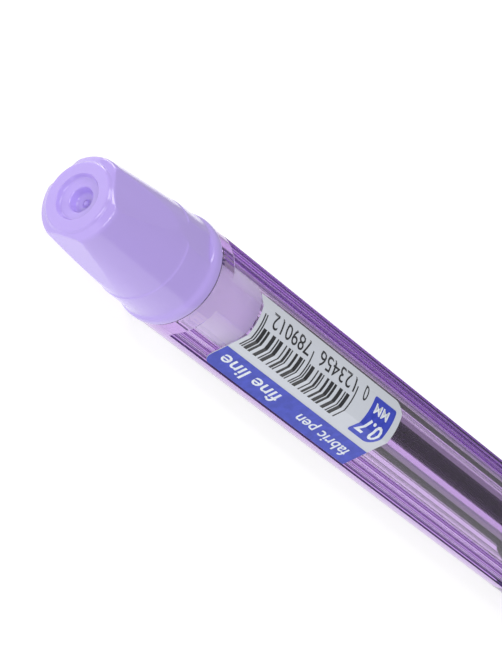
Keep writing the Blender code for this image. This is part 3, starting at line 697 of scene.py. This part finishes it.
def build_grip():
    """The sleeve, with soft ribs between its smooth ends."""
    rib = 0.2 * MM
    ribs = 8
    plain = 1.5 * MM
    edge = 0.1 * MM
    low = GRIP_R - rib
    pitch = (GRIP_END - GRIP_START - 2 * plain) / ribs
    # a rib's section: shares of the pitch and of the rib's height
    section = ((0.02, 0.0), (0.1, 0.35), (0.2, 0.8), (0.32, 1.0), (0.5, 1.0),
               (0.68, 1.0), (0.8, 0.8), (0.9, 0.35), (0.98, 0.0))
    profile = [(GRIP_END, low - edge), (GRIP_END - edge, low)]
    for k in range(ribs):
        front = GRIP_END - plain - k * pitch
        profile += [(front - share * pitch, low + rib * height) for share, height in section]
    profile += [(GRIP_START + edge, low), (GRIP_START, low - edge),
                (GRIP_START, NECK_R + FIT), (GRIP_END, NECK_R + FIT)]
    mesh = lathe("grip", profile, even_turns(144), ring_closed=True)
    obj = finish_mesh("grip", mesh, RUBBER, "pen_body", 40)
    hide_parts("grip_sleeve")


def build_nose():
    waist = NOSE_START + TENON_LENGTH
    shelf = BARREL_END + FIT
    throat = NOSE_END - 6.9 * MM
    collar_end = throat + 2 * MM
    tip_r, mouth_r, holder_r = 1.9 * MM, 1.55 * MM, 1.6 * MM
    corners = [(NOSE_END, mouth_r, 0), (NOSE_END, tip_r, 0.2 * MM),
               (waist, NOSE_R - CLEAR, 0.8 * MM), (waist - MM, NOSE_R, 0.5 * MM),
               (NOSE_START, NOSE_R, 0.25 * MM), (NOSE_START, TENON_R + FIT, 0.1 * MM),
               (shelf, TENON_R + FIT, 0), (shelf, FRONT_BORE_R, 0), (throat, holder_r, 0),
               (collar_end, holder_r, 0), (NOSE_END, mouth_r, 0)]
    mesh = lathe("nose", rounded_corners(corners, 5)[:-1], even_turns(128), ring_closed=True)
    obj = finish_mesh("nose", mesh, VIOLET, "pen_body", 30)
    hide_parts("nose_cone")


# --- cap ---

CAP_R = 6.25 * MM
CAP_HALF = FLANGE_R         # axis to each of its four flats
CAP_TIP_R = 4.5 * MM
CAP_TAPER = CAP_END - 0.32 * (CAP_END - MOUTH)
CAP_BORE_R = 4.95 * MM
CAP_FLAT_SOFT = 0.12 * MM
CAP_OUTSIDE_R = 4.99 * MM   # only the outside is wider than this
CUP_HOLE_R = 3.4 * MM
END_PLUG_R = (span("cap_end_plug", 1)[1] - span("cap_end_plug", 1)[0]) / 2
END_PLUG_HEAD = 0.9 * MM
CLIP_FOOT = 3.0 * MM


def cap_shape(s, r, turn):
    """Four flats, which leave the inside and the rim of the mouth alone."""
    rim = s < MOUTH + 0.01 * MM and r < 5.2 * MM
    if r < CAP_OUTSIDE_R or rim:
        return r
    off = math.radians((turn + 45) % 90 - 45)
    return soft_least(r, CAP_HALF / math.cos(off), CAP_FLAT_SOFT)


def build_cap():
    seat = SHOULDER + SEAT_LENGTH
    hole = CAP_END - END_PLUG_HEAD
    cup_open = span("cap_inner_cup")[0] - RIM_X
    corners = [(hole, END_PLUG_R + FIT, 0), (CAP_END, END_PLUG_R + FIT, 0),
               (CAP_END, CAP_TIP_R, 1.1 * MM), (CAP_TAPER, CAP_R, 3.0 * MM),
               (MOUTH, CAP_R, 0.35 * MM), (MOUTH, SEAT_R + 0.4 * MM, 0.2 * MM),
               (MOUTH + CLEAR, SEAT_R + FIT, 0), (seat - FIT, SEAT_R + FIT, 0),
               (seat, CAP_BORE_R, 0), (NOSE_START + TENON_LENGTH, CAP_BORE_R, 0),
               (cup_open, CUP_HOLE_R, 0), (hole, CUP_HOLE_R, 0), (hole, END_PLUG_R + FIT, 0)]
    profile = []
    ring = rounded_corners(corners, 6)
    for (s0, r0), (s1, r1) in zip(ring, ring[1:]):
        wide = min(r0, r1) > 4.3 * MM
        steps = max(int(abs(s1 - s0) / (1.2 * MM)), 1) if wide else 1
        profile += [(s0 + (s1 - s0) * k / steps, r0 + (r1 - r0) * k / steps)
                    for k in range(steps)]
    mesh = lathe("cap_body", profile, even_turns(192), ring_closed=True, shape=cap_shape)
    obj = finish_mesh("cap_body", mesh, LILAC, "cap", 40)
    cut(obj, pocket_mesh())
    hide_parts("cap_shell")


def pocket_mesh():
    """The hole in the cap's wall that the clip's foot goes into: a cutter."""
    low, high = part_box("cap_clip")
    bottom = low[2] - CLEAR
    top = AXIS_Z + CAP_HALF + MM
    half = (high[1] - low[1]) / 2 + CLEAR
    mesh = bpy.data.meshes.new("pocket")
    work = bmesh.new()
    bmesh.ops.create_cube(work, size=1)
    for v in work.verts:
        v.co = (high[0] - CLIP_FOOT / 2 + v.co.x * (CLIP_FOOT + 2 * CLEAR),
                AXIS_Y + v.co.y * 2 * half, (bottom + top) / 2 + v.co.z * (top - bottom))
    work.to_mesh(mesh)
    work.free()
    return mesh


def cut(obj, cutter_mesh):
    """Takes a cutter's solid away from a piece."""
    cutter = bpy.data.objects.new("cutter", cutter_mesh)
    bpy.context.scene.collection.objects.link(cutter)
    step = obj.modifiers.new("pocket", "BOOLEAN")
    step.object = cutter
    step.solver = "EXACT"
    evaluated = obj.evaluated_get(bpy.context.evaluated_depsgraph_get())
    made = bpy.data.meshes.new_from_object(evaluated)
    obj.modifiers.clear()
    obj.data = made
    bpy.data.objects.remove(cutter)


def clip_line(low, high):
    """The clip's outline from the side, as (x, z), between its lowest and highest corner."""
    rear, front = low[0], high[0]
    foot_z, top = low[2], high[2]
    arm = top - 1.3 * MM        # the arm's underside
    bump_r = 1.0 * MM
    bump_x, bump_z = rear + 2.5 * MM, arm + 0.15 * MM
    bump = [(bump_x + bump_r * math.cos(math.radians(a)),
             bump_z + bump_r * math.sin(math.radians(a)), 0) for a in range(190, 351, 16)]
    return rounded_corners([(front, foot_z, 0), (front, top, 1.1 * MM), (rear, top, 0.6 * MM),
                            (rear, arm + 0.05 * MM, 0.3 * MM)] + bump
                           + [(front - CLIP_FOOT, arm, 0.6 * MM),
                              (front - CLIP_FOOT, foot_z, 0)], 5)


def build_clip():
    """The clip, drawn from the side, with soft edges."""
    low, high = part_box("cap_clip")
    half = (high[1] - low[1]) / 2
    line = clip_line(low, high)
    work = bmesh.new()
    left = [work.verts.new((x, AXIS_Y - half, z)) for x, z in line]
    right = [work.verts.new((x, AXIS_Y + half, z)) for x, z in line]
    work.faces.new(left[::-1])
    work.faces.new(right)
    for i in range(len(line)):
        j = (i + 1) % len(line)
        work.faces.new((left[i], left[j], right[j], right[i]))
    bmesh.ops.recalc_face_normals(work, faces=work.faces)
    mesh = bpy.data.meshes.new("clip")
    work.to_mesh(mesh)
    work.free()
    obj = finish_mesh("clip", mesh, LILAC, "clip", 40)
    edge = obj.modifiers.new("edges", "BEVEL")
    edge.width = 0.3 * MM
    edge.segments = 4
    edge.limit_method = "ANGLE"
    edge.angle_limit = math.radians(60)
    edge.harden_normals = True
    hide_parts("cap_clip")


def build_end_plug():
    """The plug in the cap's end, with a dished face and a vent through it."""
    low, high = (x - RIM_X for x in span("cap_end_plug"))
    vent = 0.6 * MM
    head = CAP_END - 0.8 * MM
    spigot_r = 3.3 * MM
    corners = [(low, vent, 0), (high - 0.5 * MM, vent, 0.2 * MM),
               (high - 0.35 * MM, END_PLUG_R - 1.2 * MM, 0.2 * MM),
               (high, END_PLUG_R - 0.8 * MM, 0.15 * MM), (high, END_PLUG_R, 0.2 * MM),
               (head, END_PLUG_R, 0), (head, spigot_r, 0), (low, spigot_r, 0), (low, vent, 0)]
    mesh = lathe("cap_plug", rounded_corners(corners, 4)[:-1], even_turns(96), ring_closed=True)
    obj = finish_mesh("cap_plug", mesh, LILAC, "cap", 35)
    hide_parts("cap_end_plug")


def dress(node, mat):
    """Gives a CAD node a better material."""
    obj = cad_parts[node]
    obj.data.materials.clear()
    obj.data.materials.append(mat)


build_plug()
build_barrel()
build_refill()
build_label()
build_grip()
build_nose()
build_cap()
build_clip()
build_end_plug()
dress("point_holder", HOLDER)
dress("metal_point", NICKEL)
dress("tip_ball", CARBIDE)
dress("cap_inner_cup", WHITE)


# --- floor, light, camera ---

LIT_POINT = Vector((-0.07, 0, 0))

def build_stage():
    """A pale floor that glows a little, so that it stays white under a clear pen."""
    made, tree, shader = shader_material("paper_floor")
    tree.links.new(ramp(tree, noise(tree, 30, 4), (0.30, 0.30, 0.305), (0.32, 0.32, 0.32)),
                   shader.inputs["Base Color"])
    shader.inputs["Roughness"].default_value = 0.9
    shader.inputs["Specular IOR Level"].default_value = 0.0
    shader.inputs["Emission Color"].default_value = (1, 1, 1, 1)
    shader.inputs["Emission Strength"].default_value = 0.85
    half = 3.0
    mesh = bpy.data.meshes.new("floor")
    mesh.from_pydata([(-half, -half, 0), (half, -half, 0), (half, half, 0), (-half, half, 0)],
                     [], [(0, 1, 2, 3)])
    mesh.materials.append(made)
    floor = bpy.data.objects.new("floor", mesh)
    bpy.context.scene.collection.objects.link(floor)
    world = bpy.data.worlds.new("studio")
    world.use_nodes = True
    back = world.node_tree.nodes["Background"]
    back.inputs["Color"].default_value = (1, 1, 1, 1)
    back.inputs["Strength"].default_value = 0.37
    bpy.context.scene.world = world


def add_light(name, where, size, power, roll=0.0):
    """A rectangular softbox aimed at the plug, turned about its own middle by roll."""
    data = bpy.data.lights.new(name, "AREA")
    data.shape = "RECTANGLE"
    data.size, data.size_y = size
    data.energy = power
    light = bpy.data.objects.new(name, data)
    light.location = where
    aim = (LIT_POINT - Vector(where)).to_track_quat("-Z", "Y").to_matrix()
    light.rotation_euler = (aim @ Matrix.Rotation(math.radians(roll), 3, "Z")).to_euler()
    bpy.context.scene.collection.objects.link(light)


def build_camera():
    """The photograph's view: from behind the plug and above, with the pen running
    down to the right. Its numbers were fitted to the plug, barrel and label."""
    axis_turn = math.radians(40.934)    # between the camera's line and the pen's axis
    section_turn = math.radians(57.0)   # turn of the side of the pen that faces it
    roll = math.radians(37.9)
    distance = 0.37824
    rim_right, rim_down = -0.009348, -0.000197      # the rim's middle in the view
    near = turn_direction(section_turn)
    down = turn_direction(section_turn + math.pi / 2)
    along = Vector((1, 0, 0))
    right = math.sin(axis_turn) * along + math.cos(axis_turn) * near
    ahead = math.cos(axis_turn) * along - math.sin(axis_turn) * near
    spot = place(0, 0, 0) - rim_right * right - rim_down * down - distance * ahead
    view_right = math.cos(roll) * right - math.sin(roll) * down
    view_down = math.sin(roll) * right + math.cos(roll) * down
    data = bpy.data.cameras.new("camera")
    data.sensor_fit = "HORIZONTAL"
    data.sensor_width = 36
    data.lens = 294.36
    data.clip_start, data.clip_end = 0.01, 20
    camera = bpy.data.objects.new("camera", data)
    turn = Matrix((view_right, -view_down, -ahead)).transposed()
    camera.matrix_world = Matrix.Translation(spot) @ turn.to_4x4()
    bpy.context.scene.collection.objects.link(camera)
    bpy.context.scene.camera = camera


def turn_direction(angle):
    return Vector((0, -math.sin(angle), math.cos(angle)))


build_stage()
add_light("side_softbox", (-0.38, -0.34, 0.26), (0.03, 0.32), 0.72)
add_light("top_softbox", (-0.36, 0.03, 0.47), (0.25, 0.25), 1.15)
add_light("rim_softbox", (-0.13, 0.46, 0.14), (0.05, 0.27), 0.6, -37)
build_camera()
bpy.context.scene.view_settings.view_transform = "Standard"
